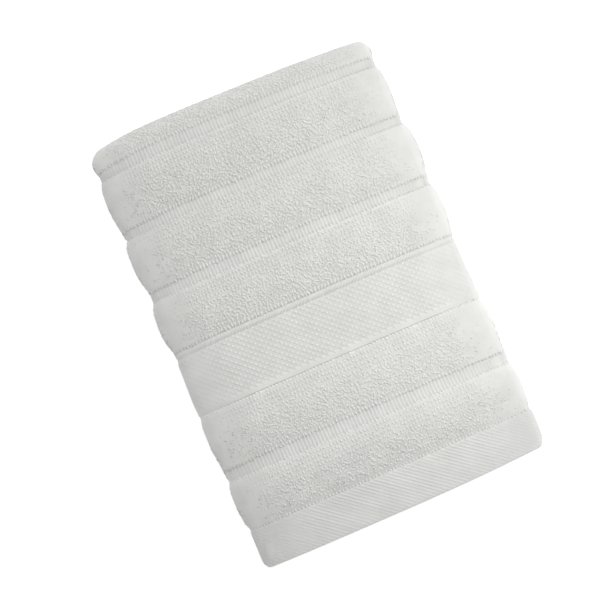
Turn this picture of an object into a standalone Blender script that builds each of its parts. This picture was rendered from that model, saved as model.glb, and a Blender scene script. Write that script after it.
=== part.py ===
"""A white terry hand towel, folded for the shelf.

The towel is one piece of cloth. It is first folded in thirds across its width, so that both long
sides of the pile are rounded folds, and then folded in half twice along its length. Twelve plies
lie on each other. The outermost third, with the hem, the woven border and the terry bands of one
end of the towel, is the face that shows on top.

Frame: +X across the folded towel, +Y from the hem towards the outer fold, +Z up. The origin is on
the surface that the towel lies on, under the middle of its bounding box. Lengths are in metres.
"""

import math

import bpy
import numpy as np

# The cloth
TOWEL_WIDTH = 0.495
CLOTH_THICKNESS = 0.0028
PLY_PITCH = 0.0034
PLIES_IN_A_PACKET = 3
PACKET = PLIES_IN_A_PACKET * PLY_PITCH
FLAP_SETBACK = 0.004

# The folded pile
PILE_LENGTH = 0.2620
OUTER_FOLD_REACH = 0.0130
OUTER_FOLD_SQUARENESS = 2.4
INNER_FOLD_NEST = 0.0042
LOWER_FOLD_SETBACK = 0.003
INNER_HEM_SETBACK = 0.0025

# How far each kind of weave stands proud of the rib bands, on a face that shows
PROUD = {"terry": 0.0028, "rib": 0.0, "hem": 0.0010, "edge": 0.0009, "border": 0.0012, "cord": 0.0020}
PRESSED_SHARE = 0.4  # of that height, on the face that the pile lies on
FRONT_SHARE = 0.9  # of that height, at the front of the lower fold

# The bands of one end of the towel, from its hem inwards, and how far each stands proud of the
# rib bands at the two sides of the pile
END_BANDS = (
    # kind, length, left side, right side
    ("hem", 0.0238, 0.0012, 0.0017),
    ("terry", 0.0305, 0.0028, 0.0031),
    ("rib", 0.0067, 0.0003, 0.0005),
    ("terry", 0.0325, 0.0025, 0.0026),
    ("edge", 0.0043, 0.0011, 0.0017),
    ("border", 0.0311, 0.0023, 0.0010),
    ("cord", 0.0044, 0.0017, 0.0013),
    ("terry", 0.0307, 0.0038, 0.0036),
    ("rib", 0.0058, 0.0009, 0.0001),
    ("terry", 0.0323, 0.0035, 0.0036),
    ("rib", 0.0056, -0.0005, 0.0003),
    ("terry", 0.0321, 0.0026, 0.0023),
    ("rib", 0.0060, 0.0, -0.0006),
    ("terry", 0.0322, 0.0022, 0.0014),
    ("rib", 0.0059, 0.0, 0.0),
)
REPEATED_BANDS = (("terry", 0.0322, 0.0026, 0.0028), ("rib", 0.0059, 0.0, 0.0))

# Where a band's rows of points lie along it, and how much of its height it has there
FULL_ROWS = {
    # kind: (share of the band's length, share of its height), ...
    "terry": ((0.0, 0.05), (0.04, 0.65), (0.2, 0.95), (0.8, 1.0), (0.96, 0.75)),
    "rib": ((0.0, 1.0),),
    "hem": ((0.0, 0.5), (0.08, 0.9), (0.3, 1.0), (0.96, 1.0)),
    "edge": ((0.0, 0.2), (0.3, 1.0)),
    "border": ((0.0, 0.7), (0.5, 1.0)),
    "cord": ((0.0, 0.2), (0.4, 1.0)),
}
PLAIN_ROWS = {"terry": ((0.05, 1.0), (0.95, 1.0)), "rib": ((0.5, 1.0),)}
SPARSE_ROWS = {"terry": ((0.5, 0.9),)}

# How the pile settles across its width. The plies bend only at these places.
SETTLING = (
    # x, share of its height lost, shift of the fold end, shift of the hem end
    (-0.0900, 0.200, -0.0030, 0.0008),
    (-0.0730, 0.078, -0.0004, 0.0004),
    (-0.0560, 0.022, 0.0010, 0.0001),
    (-0.0230, 0.004, 0.0008, 0.0),
    (0.0100, 0.004, 0.0, 0.0),
    (0.0390, 0.040, -0.0006, 0.0004),
    (0.0640, 0.110, -0.0016, 0.0013),
    (0.0900, 0.215, -0.0032, 0.0026),
)
HEM_SINK = 0.26
HEM_SINK_LENGTH = 0.042
END_SHIFT_POWER = 5
CORNER_ROUNDING = 0.0042
CORNER_WIDTH = 0.0065
CORNER_LENGTH = 0.013
LEFT_TAPER = 0.014
WAIST = 0.0025
PUSH = 0.0005
PUSH_TURN = 47.0
FREE_ABOVE = 0.008

# How finely the folds are divided
RIGHT_FOLD_STEPS = 4
LEFT_FOLD_STEPS = 5
OUTER_FOLD_STEPS = 8
LOWER_FOLD_STEPS = 5
INNER_FOLD_STEPS = 4
PATH_STEP = 0.0002

WHITE_COTTON = (0.80, 0.80, 0.77, 1.0)
COTTON_ROUGHNESS = 0.95


def smooth_step(value, start, end):
    """0 before start, 1 after end, and a soft ramp in between."""
    share = np.clip((value - start) / (end - start), 0.0, 1.0)
    return share * share * (3.0 - 2.0 * share)


class Across:
    """The fold in thirds: the cloth's middle line from one long edge to the other.

    x is its place across the pile and rise its height in the packet of three plies, from the
    packet's middle ply. (turn_x, turn_rise) points out of the cloth's face. showing is 1 where
    the face shows, and side_only is 1 only at the very side of the folds.
    """

    def __init__(self):
        fold_length = 1.5 * math.pi * PLY_PITCH
        straight = (TOWEL_WIDTH - fold_length + 2 * FLAP_SETBACK) / PLIES_IN_A_PACKET
        self.right = (straight + PLY_PITCH / 2) / 2
        self.left = self.right - straight
        self.points = []
        self._ply(self.left + FLAP_SETBACK, self.right, 0.0, (0.0, -1.0, 0.0, 0.0))
        self._fold(self.right, PLY_PITCH / 2, PLY_PITCH / 2, RIGHT_FOLD_STEPS, side=1)
        self._ply(self.right, self.left, PLY_PITCH, (0.0, 1.0, 1.0, 0.0))
        self._fold(self.left, 0.0, PLY_PITCH, LEFT_FOLD_STEPS, side=-1)
        self._ply(self.left, self.right - FLAP_SETBACK, -PLY_PITCH, (0.0, -1.0, 0.0, 0.0))
        columns = np.array(self.points).T
        self.x, self.rise, self.turn_x, self.turn_rise, self.showing, self.side_only = columns

    def _ply(self, start, end, rise, rest):
        """A flat third, with a point wherever the pile bends, and one at an edge of the cloth."""
        low, high = min(start, end), max(start, end)
        places = [row[0] for row in SETTLING if low < row[0] < high]
        if start != self.right and start != self.left:
            places.append(start)
        if end != self.right and end != self.left:
            places.append(end)
        for x in sorted(places, reverse=start > end):
            self.points.append((x, rise, *rest))

    def _fold(self, x, rise, radius, steps, side):
        angles = np.linspace(-90.0, 90.0, steps + 1) * side
        for angle in np.radians(angles):
            out, up = side * math.cos(angle), math.sin(angle)
            side_only = math.cos(angle) ** 2
            showing = 1.0 if up > 0 else side_only
            self.points.append(
                (x + radius * out, rise + radius * up, out, up, showing, side_only)
            )


class Along:
    """The two folds in half: the packet's middle line from the upper hem to the inner hem.

    It runs along the top, round the outer fold, back along the bottom, round the lower fold,
    inwards, round the inner fold and out to the inner hem. length is measured on the face ply.
    """

    def __init__(self):
        rest = CLOTH_THICKNESS / 2 + PRESSED_SHARE * PROUD["terry"] + PLY_PITCH
        self.level = [rest + PACKET * run for run in range(4)]
        outer_face = PLY_PITCH + CLOTH_THICKNESS / 2
        hem = -PILE_LENGTH / 2
        outer = PILE_LENGTH / 2 - OUTER_FOLD_REACH - outer_face - PROUD["terry"]
        lower = hem + LOWER_FOLD_SETBACK + PACKET / 2 + outer_face + PROUD["terry"]
        inner = outer - INNER_FOLD_NEST
        inner_hem = hem + INNER_HEM_SETBACK
        bottom, under, over, top = self.level
        self.middle = (bottom + top) / 2
        self.pieces = (
            # name, points
            ("top", self._line(hem, outer, top)),
            ("outer_fold", self._arc(outer, (bottom + top) / 2, OUTER_FOLD_REACH, 1.5 * PACKET, -1)),
            ("bottom", self._line(outer, lower, bottom)),
            ("lower_fold", self._arc(lower, (bottom + under) / 2, -PACKET / 2, PACKET / 2, 1)),
            ("under", self._line(lower, inner, under)),
            ("inner_fold", self._arc(inner, (under + over) / 2, PACKET / 2, PACKET / 2, 1)),
            ("over", self._line(inner, inner_hem, over)),
        )
        self._measure()

    @staticmethod
    def _line(start, end, level):
        steps = max(2, round(abs(end - start) / PATH_STEP))
        return np.stack([np.linspace(start, end, steps + 1), np.full(steps + 1, level)], axis=1)

    @staticmethod
    def _arc(y, z, reach, height, up):
        """Half an ellipse from one run to the next, a little squared if it is the outer fold."""
        squareness = OUTER_FOLD_SQUARENESS if height > PACKET else 2.0
        angles = np.linspace(-math.pi / 2, math.pi / 2, round(math.pi * height / PATH_STEP))
        power = 2.0 / squareness
        out = np.abs(np.cos(angles)) ** power * reach
        rise = np.sign(np.sin(angles)) * np.abs(np.sin(angles)) ** power * height * up
        return np.stack([y + out, z + rise], axis=1)

    def _measure(self):
        points, self.ends = [self.pieces[0][1][:1]], {}
        for name, line in self.pieces:
            points.append(line[1:])
            self.ends[name] = sum(len(p) for p in points) - 1
        path = np.concatenate(points)
        step = np.gradient(path, axis=0)
        step /= np.linalg.norm(step, axis=1)[:, None]
        self.path = path
        self.normal = np.stack([-step[:, 1], step[:, 0]], axis=1)
        face = path + PLY_PITCH * self.normal
        self.face_length = self._running_length(face)
        self.cut_length = self._running_length(path)[-1]
        sink = HEM_SINK_LENGTH - PILE_LENGTH / 2
        over = self.end_of("over") - (sink - self.pieces[-1][1][-1, 0])
        self.sink_starts = (HEM_SINK_LENGTH, over)

    @staticmethod
    def _running_length(line):
        return np.concatenate([[0.0], np.cumsum(np.linalg.norm(np.diff(line, axis=0), axis=1))])

    def end_of(self, name):
        return self.face_length[self.ends[name]]

    def at(self, length):
        """Places and normals at these lengths along the face ply."""
        place = [np.interp(length, self.face_length, self.path[:, k]) for k in (0, 1)]
        normal = [np.interp(length, self.face_length, self.normal[:, k]) for k in (0, 1)]
        normal = np.stack(normal, axis=1)
        return np.stack(place, axis=1), normal / np.linalg.norm(normal, axis=1)[:, None]


class Row:
    """A row of points across the cloth: its length along the face ply, and how far the cloth
    stands proud there on the face, at the left side and at the right side."""

    def __init__(self, length, face, left, right):
        self.length = length
        self.proud = (face, left, right)


def band_list(length):
    """The towel's bands from the upper hem on, as (kind, start, size, left, right)."""
    bands, start, number = [], 0.0, 0
    while start < length:
        if number < len(END_BANDS):
            kind, size, left, right = END_BANDS[number]
        else:
            kind, size, left, right = REPEATED_BANDS[(number - len(END_BANDS)) % len(REPEATED_BANDS)]
        bands.append((kind, start, size, left, right))
        start, number = start + size, number + 1
    return bands


def rows_along(along):
    """All the rows of points, from the upper hem to the inner hem."""
    shows_until = (along.end_of("top") + along.end_of("outer_fold")) / 2
    pressed_until = along.end_of("bottom")
    last = along.face_length[-1]
    inner_hem = last - END_BANDS[0][1]
    rows = []
    for kind, start, size, left, right in band_list(inner_hem):
        shape = FULL_ROWS[kind]
        if start > pressed_until:
            shape = SPARSE_ROWS.get(kind, ())
        elif start > shows_until:
            shape = PLAIN_ROWS[kind]
        for share, height in shape:
            place = start + share * size
            rows.append(Row(place, height * PROUD[kind], height * left, height * right))
    rows = [row for row in rows if row.length < inner_hem - 0.002]
    rows += [Row(inner_hem, 0.0, 0.0, 0.0), Row(last, PROUD["hem"], 0.0, 0.0)]
    return with_more_rows(rows, along)


def with_more_rows(rows, along):
    """The rows with one more where the hem end starts to sink, and more round the folds."""
    folds = (
        # the fold, the run before it, steps
        ("outer_fold", "top", OUTER_FOLD_STEPS),
        ("lower_fold", "bottom", LOWER_FOLD_STEPS),
        ("inner_fold", "under", INNER_FOLD_STEPS),
    )
    places = np.array([row.length for row in rows])
    proud = np.array([row.proud for row in rows]).T
    wanted = [(place, 0.0001) for place in along.sink_starts]
    for fold, before, steps in folds:
        start, end = along.end_of(before), along.end_of(fold)
        wanted += [(place, (end - start) / steps / 3) for place in np.linspace(start, end, steps + 1)]
    more = []
    for place, clearance in wanted:
        if np.abs(places - place).min() > clearance:
            more.append(Row(place, *(float(np.interp(place, places, p)) for p in proud)))
    return sorted(rows + more, key=lambda row: row.length)


def share_of_height(length, along):
    """How much of the weave's height is left: all of it on top, less underneath, none inside."""
    fold, flat, lower, inside = (along.end_of(n) for n in ("top", "outer_fold", "bottom", "lower_fold"))
    front = 0.45 * lower + 0.55 * inside
    share = 1.0 - (1.0 - PRESSED_SHARE) * smooth_step(length, (fold + flat) / 2, flat)
    share += (FRONT_SHARE - PRESSED_SHARE) * smooth_step(length, lower, front)
    return share * (1.0 - smooth_step(length, front, 0.1 * lower + 0.9 * inside))


def settle(points, along):
    """The pile's own weight: its sides and its hem end sink, and its ends shift a little. What
    lies on the surface stays flat and straight-edged."""
    x, y, z = points.T
    half_width, half_length = np.abs(x).max(), PILE_LENGTH / 2
    near_hem = np.clip((HEM_SINK_LENGTH - half_length - y) / HEM_SINK_LENGTH, 0.0, 1.0)
    z = z - np.maximum(z - along.middle, 0.0) * HEM_SINK * near_hem
    places, lost, fold_shift, hem_shift = (np.array(column) for column in zip(*SETTLING))
    z = z * (1.0 - np.interp(x, places, lost))
    free = smooth_step(z, 0.0, FREE_ABOVE)
    at_end = 1.0 - smooth_step(y, -half_length, CORNER_LENGTH - half_length)
    corner = smooth_step(np.abs(x), half_width - CORNER_WIDTH, half_width)
    shift = np.interp(x, places, fold_shift) * np.clip(y / half_length, 0.0, 1.0) ** END_SHIFT_POWER
    shift += np.interp(x, places, hem_shift) * np.clip(-y / half_length, 0.0, 1.0) ** END_SHIFT_POWER
    shift += CORNER_ROUNDING * corner * at_end
    waist_x = x * WAIST * ((y / half_length) ** 2 - 1.0)
    waist_y = y * WAIST * ((x / half_width) ** 2 - 1.0)
    tapered = x - LEFT_TAPER * np.minimum(x, 0.0) * y / half_length
    x = tapered + waist_x + PUSH * np.sin(PUSH_TURN * y) * free
    y = y + waist_y + shift * free
    return np.stack([x, y, z], axis=1)


def cloth_points(across, along, rows):
    """The points of the face and of the back, as two arrays of rows by columns by three."""
    places, normals = along.at(np.array([row.length for row in rows]))
    face_only = across.showing - across.side_only
    face, back = [], []
    for row, place, normal in zip(rows, places, normals):
        flat, left, right = row.proud
        proud = CLOTH_THICKNESS / 2 + flat * share_of_height(row.length, along) * face_only
        bulge = np.where(across.x < 0.0, -left, right) * across.side_only
        for side, depth, out in ((face, proud, bulge), (back, -CLOTH_THICKNESS / 2, 0.0)):
            rise = across.rise + across.turn_rise * depth
            x = across.x + across.turn_x * depth + out
            side.append(np.stack([x, place[0] + normal[0] * rise, place[1] + normal[1] * rise], axis=1))
    return np.array(face), np.array(back)


def cloth_faces(rows, columns):
    """Quads of the face, of the back and of the four edges between them, all facing out."""
    number = np.arange(2 * rows * columns).reshape(2, rows, columns)
    face, back = number
    quads = []
    for grid, flip in ((face, False), (back, True)):
        a, b, c, d = grid[:-1, :-1], grid[1:, :-1], grid[1:, 1:], grid[:-1, 1:]
        corners = (d, c, b, a) if flip else (a, b, c, d)
        quads.append(np.stack([corner.ravel() for corner in corners], axis=1))
    for upper, lower in (
        (face[0, ::-1], back[0, ::-1]),
        (face[-1], back[-1]),
        (face[:, 0], back[:, 0]),
        (face[::-1, -1], back[::-1, -1]),
    ):
        quads.append(np.stack([upper[:-1], lower[:-1], lower[1:], upper[1:]], axis=1))
    return np.concatenate(quads)


def cotton():
    material = bpy.data.materials.new("white_cotton")
    material.use_nodes = True
    surface = material.node_tree.nodes["Principled BSDF"]
    surface.inputs["Base Color"].default_value = WHITE_COTTON
    surface.inputs["Roughness"].default_value = COTTON_ROUGHNESS
    surface.inputs["Metallic"].default_value = 0.0
    return material


def make_towel():
    across, along = Across(), Along()
    rows = rows_along(along)
    face, back = cloth_points(across, along, rows)
    points = settle(np.concatenate([face.reshape(-1, 3), back.reshape(-1, 3)]), along)
    low, high = points.min(axis=0), points.max(axis=0)
    points -= [(low[0] + high[0]) / 2, (low[1] + high[1]) / 2, low[2]]
    mesh = bpy.data.meshes.new("towel")
    mesh.from_pydata(points.tolist(), [], cloth_faces(len(rows), len(across.x)).tolist())
    mesh.materials.append(cotton())
    mesh.shade_smooth()
    towel = bpy.data.objects.new("towel", mesh)
    bpy.context.scene.collection.objects.link(towel)
    return towel


def main():
    for item in list(bpy.data.objects):
        bpy.data.objects.remove(item)
    make_towel()


main()
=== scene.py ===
"""A white terry hand towel, folded for the shelf: the looks that go on its folded solid.

One fine sheet follows the fold of the solid, in thirds across and in half twice along. Its yarns
stand on it as real shapes: terry loops, the ribs between the terry bands, the beaded ridges and
the cord of the woven border, and the twill of the hem. Lengths are in metres. +X is across the
pile, +Y from the hem towards the outer fold, and +Z up.
"""

import functools
import math

import bpy
import numpy as np
from bpy.props import FloatProperty, FloatVectorProperty, IntProperty, PointerProperty
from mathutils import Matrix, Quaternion, Vector


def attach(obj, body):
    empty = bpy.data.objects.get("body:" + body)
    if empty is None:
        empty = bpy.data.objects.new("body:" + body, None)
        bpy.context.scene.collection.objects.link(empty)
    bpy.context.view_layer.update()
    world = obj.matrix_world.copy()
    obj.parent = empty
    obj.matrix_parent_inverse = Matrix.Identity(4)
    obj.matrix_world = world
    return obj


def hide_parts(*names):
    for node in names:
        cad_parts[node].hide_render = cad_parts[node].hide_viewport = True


bl_info = {
    "name": "Folded terry towel",
    "version": (1, 0, 0),
    "blender": (4, 5, 0),
    "location": "3D View > Sidebar > Towel",
    "description": "Builds a folded white terry hand towel, yarn by yarn, and a plain studio",
    "category": "Add Mesh",
}

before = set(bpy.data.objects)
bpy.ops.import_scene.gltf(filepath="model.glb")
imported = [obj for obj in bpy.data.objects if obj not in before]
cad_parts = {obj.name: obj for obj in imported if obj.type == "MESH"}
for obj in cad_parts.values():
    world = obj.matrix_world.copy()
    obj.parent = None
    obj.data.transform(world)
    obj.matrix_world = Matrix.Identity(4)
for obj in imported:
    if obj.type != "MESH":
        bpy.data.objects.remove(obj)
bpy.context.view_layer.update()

# The cloth and its fold, which is the solid's. The bands, the taper and the outer fold's right
# corner are a few millimetres from the solid's, to look right from above.
FLAT_SIZE = (0.495, 1.0)
THICKNESS = 0.0028
PLY = 0.0034
PACKET = 3 * PLY
FLAP_SETBACK = 0.004
PILE_LENGTH = 0.262
OUTER_REACH = 0.013
OUTER_SQUARENESS = 2.4
INNER_NEST = 0.0042
LOWER_SETBACK = 0.003
INNER_HEM_SETBACK = 0.0025
HALF_WIDTH = 0.088713
CENTRE = (0.000346, 0.000523)  # the pile's middle before it is moved
PATH_STEP = 0.0001  # between the points that the fold is worked out on
FOLD_POINTS = 361  # round each side fold

# How far each weave stands proud of the rib bands, on a face that shows
PROUD = {"terry": 0.0028, "rib": 0.0, "hem": 0.001, "edge": 0.0009, "border": 0.0012, "cord": 0.002}
PRESSED = 0.4  # of that height, on the face that the pile lies on
FRONT = 0.9  # of that height, at the front of the lower fold
FRONT_SPAN = (0.55, 0.9)  # how far round it that is, and from where nothing stands proud

END_BANDS = (
    # kind, length, how far the left and the right side stand out
    ("hem", 0.023, 0.0012, 0.0017),
    ("terry", 0.0292, 0.003, 0.0022),
    ("rib", 0.0067, 0.0003, 0.0005),
    ("terry", 0.033, 0.0025, 0.0026),
    ("edge", 0.0043, 0.0011, 0.0024),
    ("border", 0.0304, 0.0019, 0.0015),
    ("cord", 0.0044, 0.0014, 0.0018),
    ("terry", 0.0312, 0.004, 0.0028),
    ("rib", 0.0058, 0.0009, 0.0001),
    ("terry", 0.033, 0.0035, 0.0036),
    ("rib", 0.0056, -0.0005, 0.0003),
    ("terry", 0.0324, 0.0026, 0.0023),
    ("rib", 0.006, 0.0, -0.0006),
    ("terry", 0.0331, 0.0022, 0.0014),
    ("rib", 0.0059, 0.0, 0.0),
)
REPEATED_BANDS = (("terry", 0.0322, 0.0026, 0.0028), ("rib", 0.0059, 0.0, 0.0))
HEM_LENGTH = END_BANDS[0][1]

# How the pile settles across its width
SETTLING = (
    # x, share of its height lost, shift of the fold end, shift of the hem end
    (-0.09, 0.2, -0.003, 0.0008),
    (-0.073, 0.078, -0.0004, 0.0004),
    (-0.056, 0.022, 0.001, 0.0001),
    (-0.023, 0.004, 0.0008, 0.0),
    (0.01, 0.004, 0.0, 0.0),
    (0.039, 0.04, -0.0006, 0.0004),
    (0.064, 0.11, -0.0016, 0.0013),
    (0.09, 0.215, -0.0032, 0.0026),
)
SETTLE_STEP = 0.0005
SETTLE_REACH = 12  # how many steps that is softened over
HEM_SINK = 0.26  # share of its height that the pile's upper half loses there
HEM_SINK_LENGTH = 0.042
END_SHIFT_POWER = 5
CORNER = (0.0042, 0.0065, 0.013)  # rounding, width, length
TAPER = (0.012, 0.01)  # how much wider each half is at the outer fold, and narrower at the hem
# The right corner at the outer fold: radius, length along the pile, how far past the pile's side
# it ends, and the share of its width that it is kept to
FOLD_CORNER = (0.0105, 0.04, 0.0012, 0.94)
WAIST = 0.0025  # share of its size lost in the middle of each side
PUSH = (0.0005, 47.0)  # how far it sways to the side, and radians a metre along
FREE_ABOVE = 0.008  # height from which nothing holds the pile straight
UNEVEN = (
    # height, then two crossed waves: radians a metre across, the same along, phase
    (0.00022, (61.0, 23.0, 0.0), (-41.0, 37.0, 1.3)),
    (0.00012, (171.0, 0.0, 2.0), (0.0, 143.0, 0.7)),
    (0.00009, (410.0, 90.0, 0.0), (-150.0, 380.0, 1.0)),
)

# How far each weave's ground lies below its full height
GROUND_BELOW = {"terry": 0.00058, "rib": 0.0, "hem": 0.0002, "edge": 0.0, "border": 0.0002, "cord": 0.0004}
# A band's height along it: (share of its length, share of its height)
BAND_PROFILE = {
    "terry": (
        (0.0, 0.0), (0.012, 0.32), (0.04, 0.38), (0.12, 0.53), (0.25, 0.73), (0.42, 0.92),
        (0.58, 1.0), (0.72, 0.98), (0.85, 0.88), (0.95, 0.74), (0.985, 0.6), (1.0, 0.26),
    ),
    "rib": ((0.0, 1.0), (1.0, 1.0)),
    "hem": ((0.0, 0.35), (0.03, 0.7), (0.1, 0.95), (0.9, 1.0), (1.0, 0.9)),
    "edge": ((0.0, 0.0), (0.15, 0.0), (0.22, 0.58), (0.4, 0.72), (1.0, 0.95)),
    "border": ((0.0, 0.75), (0.5, 0.7), (0.955, 0.6), (0.985, 0.2), (1.0, 0.1)),
    "cord": ((0.0, 0.12), (0.1, 0.16), (0.22, 0.42), (0.43, 0.52), (0.65, 0.44), (0.8, 0.12), (1.0, 0.06)),
}
# The same for how far a terry band stands out at both sides
SIDE_PROFILE = (
    (0.0, 0.0), (0.04, 0.22), (0.12, 0.5), (0.25, 0.8), (0.42, 0.97), (0.6, 1.0),
    (0.8, 0.9), (0.92, 0.66), (0.98, 0.35), (1.0, 0.1),
)
# How many steps of the path each line of that surface is softened over
SOFTENING = {"proud": 2, "left": 8, "right": 8, "below": 3}
NORMAL_REACH = 6  # the same for the way that the cloth faces
FLATTENED = (0.028, 0.002, 0.84)  # distances from a side that relief fades between, and by what share
MEASURE_DEPTH = 0.0028  # how far out from a ply's middle u is measured
# Ground painted darker, as shade, where its yarns would shade it, and with thin painted shadow lines:
# the shade's number, and from where to where along the band. A length below zero counts back from
# its far end.
GROUND_SHADES = {
    # a terry band's hem-side end is painted deeper in shade, as it turns away from the light
    "terry": ((1, 0.0, -0.0016), (2, 0.0, 0.006)),
    "rib": ((1, 0.0, math.inf),),
    "border": ((1, 0.0, math.inf),),
    # the cord gets painted shade below it and a painted shadow line above it
    "cord": ((2, 0.0, 0.0009), (3, -0.0004, math.inf)),
    # a painted shadow line where the edge strip meets the terry band before it
    "edge": ((3, 0.0, 0.0004),),
}
SHADED_GROUNDS = (
    # material, how much darker its painted shade is beside the setting
    ("white_shaded_ground", 1.0),
    ("white_deep_ground", 1.5),
    ("white_dark_ground", 4.5),
)

# The sheet's points
# How much coarser its rows are than the setting, stretch by stretch
ROW_STEPS = {"outer_fold": 1, "bottom": 3, "lower_fold": 1, "under": 4, "inner_fold": 1, "over": 4}
ROWS_BY_EDGE = (0.0012, 0.0005)  # rows beside a band's edge, the second only where it shows
CLEAR_OF_EDGE = 0.0017  # no other row comes nearer to one
ROWS_BY_END = (0.0, 0.0003, 0.0008, 0.0016)  # rows and columns by the cloth's own edges
CLEAR_OF_END = 0.0022
SIDE_FOLDS = (0.0205, 0.0155)  # lengths round the left and right fold
COLUMN_COUNTS = (9, 13, 11)  # in each hidden ply, round the left fold and round the right
EDGE_ROUNDING = (0.0012, 0.45)  # how far in the edges are thinner, and the share that they keep

# Each cotton: size of its fibres, their relief, how much greyer it is at both sides (painted shade,
# less on the right, which faces the light), how far light goes into it, and how much darker it is
# between the sides (painted shade, which also makes the ridges darker so that their beads read lighter)
COTTON_LOOKS = {
    "ground": (0.0005, 0.00012, 0.08, 0.4, 0.0),
    "terry": (0.0003, 0.00008, 0.09, 0.0, 0.0),
    "rib": (0.0003, 0.00006, 0.0, 0.8, 0.0),
    "ridge": (0.0003, 0.00006, 0.1, 0.0, 0.13),
    "bead": (0.0003, 0.00006, 0.1, 0.0, 0.0),
    "cord": (0.0003, 0.00006, 0.1, 0.0, 0.07),
    "hem": (0.0003, 0.00005, 0.0, 0.8, 0.0),
}
CLOUDS = (85.0, 0.3, 0.7)  # scale of its soft shades, and their range of noise
CLOUDY = 0.7  # their share of its unevenness, beside the fibres'
DARKER = 0.925  # the cotton's darkest beside its lightest
SIDE_SHADE_RAMP = (0.035, 0.01)  # distances from a side where its painted shade starts and where it is full
RIGHT_SIDE_SHADE = 0.6  # how much of that painted shade the right side, which faces the light, has beside the left
ROUGHNESS = (0.88, 0.12)  # least, and what the fibres add
FIBRE_BUMP = 0.6
WHITE, BLACK = (1.0, 1.0, 1.0, 1.0), (0.0, 0.0, 0.0, 1.0)

# The yarns
SIDE_REACH = 0.013  # how far round the side folds terry and ribs go
WOVEN_REACH = 0.0125  # the same for the border and the hem
YARN_SINK = 0.0001  # how far their edges lie in the ground
FLOOR_GAP = 0.00002  # their least height above the floor
TUCK = 0.001  # how much farther the yarns' hidden ends go
TUCKED = (0.0001, -0.0004)  # width and height there

# Loops of terry. Of the first five pairs, the first number holds where loops stand in line, and the
# second is what is added where they lean about.
LOOP_TWIST = (0.22, 0.85)  # radians
LOOP_LEAN = (0.1, 0.9)  # shares of the lean
LOOP_JITTER = (0.07, 0.13)  # shares of the pitch
LOOP_UNEVEN = (0.18, 0.09)  # shares of the height
LOOP_LENGTH = (0.9, 0.3)  # shares of the span
LOOP_RADII = (0.85, 1.1)  # shares of the yarn's radius, least and most
LOOP_SPANS = (0.8, 1.15)  # shares of the span, least and most
LOOP_FATTER = 0.06  # how much thicker the yarn is in line
LOOP_SPREAD = (1.1, 0.22)  # how wide the yarn is for its height, and what is added in line
LOOP_FOOT_DEPTH = 1.1  # in radii
LOOP_FOOT_OUT = 1.3  # in half spans
LOOP_CROWN = 0.12  # how far the crown rises above the shoulders, in radii
LOOP_BOW = 0.22  # how far it bows to the side, in radii
LOOP_SIDES = 4
LOOP_TAPER = (0.75, 0.95, 1.0, 0.95, 0.75)  # the yarn's radius along a loop
ROW_MARGINS = (0.4, 0.31)  # rows between a band's edges and its first and last loops
BAND_MARGIN = 0.0004  # the least distance of a loop from its band's edges
IN_LINE = (0.006, 0.018, 0.6)  # lengths from a band's two edges that the lines fade over, and how fast
SECOND_LAYER = 0.45  # the second layer stands where loops are less in line than this
LAYER_HEIGHTS = (0.88, 0.76)
LOWER_BY_HEM = ((0.02, 0.2), (0.52, 1.0))  # lengths along the cloth, and how tall loops are there
EDGE_ROW = (0.6, 1.7)  # rows that count as a band's edge, and how long the loops at its start are
# Where loops are worn off: from this far round the side folds, wholly up to this far round, and no
# more from this far in
WORN_LOOPS = (0.004, 0.002, 0.01)

# The upright ribs
RIB_SPAN = (-0.08, 1.09)  # from where to where, in shares of the band
RIB_STEPS = 17
RIB_BEAD = 0.00098
RIB_WIDTH = (0.43, 0.05)  # half of it, in pitches, and what beads add
RIB_HEIGHT = (0.00028, 0.38)  # and what beads add, as a share
RIB_WORN = 0.25  # share of its height that is left at both sides
RIB_FADES = ((0.0, 0.01), (0.002, 0.026))  # from where to where the rest comes, left and right
RIB_JITTER = 0.00004

# The border
RIDGE = (0.00106, 0.00008)  # half width, height
BEAD = (0.00056, 0.00074, 0.00042, 0.00006)  # half length, half width, height, how far it is sunk
BEAD_BLUNTNESS = 0.92
BORDER_MARGINS = (0.0003, 0.0022)  # to the first row, and how much longer than the band they run
CORD_RUN = 0.003  # how far across a strand of the cord goes
CORD_SPAN = (0.11, 0.62)  # where in the band it starts, and how much of the band it crosses
CORD_WIDTH = 0.37  # half of it, in pitches
CORD_HEIGHT = (0.0001, 0.0003)  # at its ends, and what is added in its middle
CORD_WAVE = (0.00008, 150.0)  # how far the cord sways, and radians a metre across
CORD_JITTER = 0.00015

# The hem's twill
HEM_MARGINS = (0.0002, 0.0006)  # from the hem's inner and outer edge
HEM_STEPS = 41
HEM_DASH = 0.0021
HEM_RIDGE_WIDTH = (0.00062, 0.00003)  # half of it, and what dashes add
HEM_RIDGE_HEIGHT = (0.00024, 0.00008)
HEM_FADE = (-0.002, 0.045)  # distances from the left side where it is worn off, and where it isn't

# The least and the most of their size that the yarns have, and the seeds of their random draws
VARYING = {
    "rib_width": (0.94, 1.04),
    "rib_height": (0.9, 1.1),
    "ridge": (0.8, 1.2),
    "bead": (0.85, 1.15),
    "strand": (0.7, 1.25),
    "twill": (0.6, 1.2),
}
SEEDS = {"ribs": 11, "border": 23, "hem": 31}

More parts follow.
